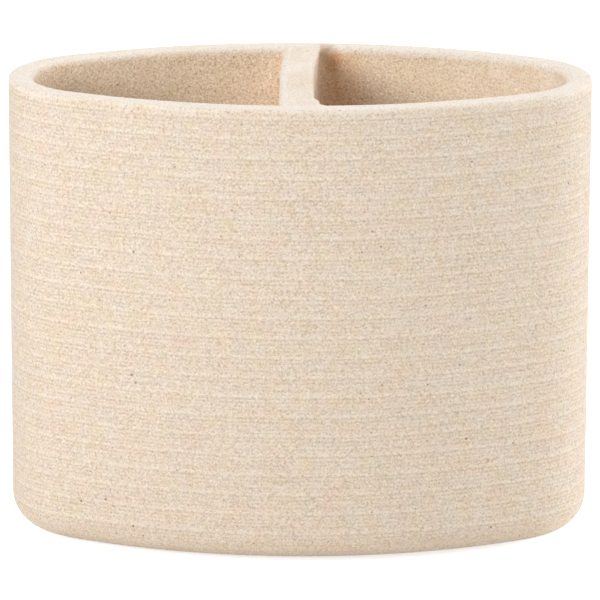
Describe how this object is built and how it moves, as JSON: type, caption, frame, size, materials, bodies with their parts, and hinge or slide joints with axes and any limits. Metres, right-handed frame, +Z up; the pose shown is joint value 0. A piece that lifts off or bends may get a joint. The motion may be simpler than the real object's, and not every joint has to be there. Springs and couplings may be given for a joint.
{
  "type": "toothbrush holder",
  "caption": "Free-standing oval toothbrush holder with an upright wall, a rounded base edge and a divider that makes two open compartments.",
  "frame": {"origin": "on the floor, under the middle of the holder", "axes": "+X to the right along the width, +Y to the back, +Z up"},
  "size_m": [0.12, 0.06, 0.097],
  "materials": {
    "sand_cast_resin": "matte, sandy, with fine combed lines",
    "smoothed_resin": "matte, sandy, with a sanded top edge",
    "pad_rubber": "matte"
  },
  "bodies": {
    "root": {"vessel": "sand_cast_resin", "divider": "smoothed_resin", "foot_front_left": "pad_rubber", "foot_front_right": "pad_rubber", "foot_rear_left": "pad_rubber", "foot_rear_right": "pad_rubber"}
  },
  "joints": []
}
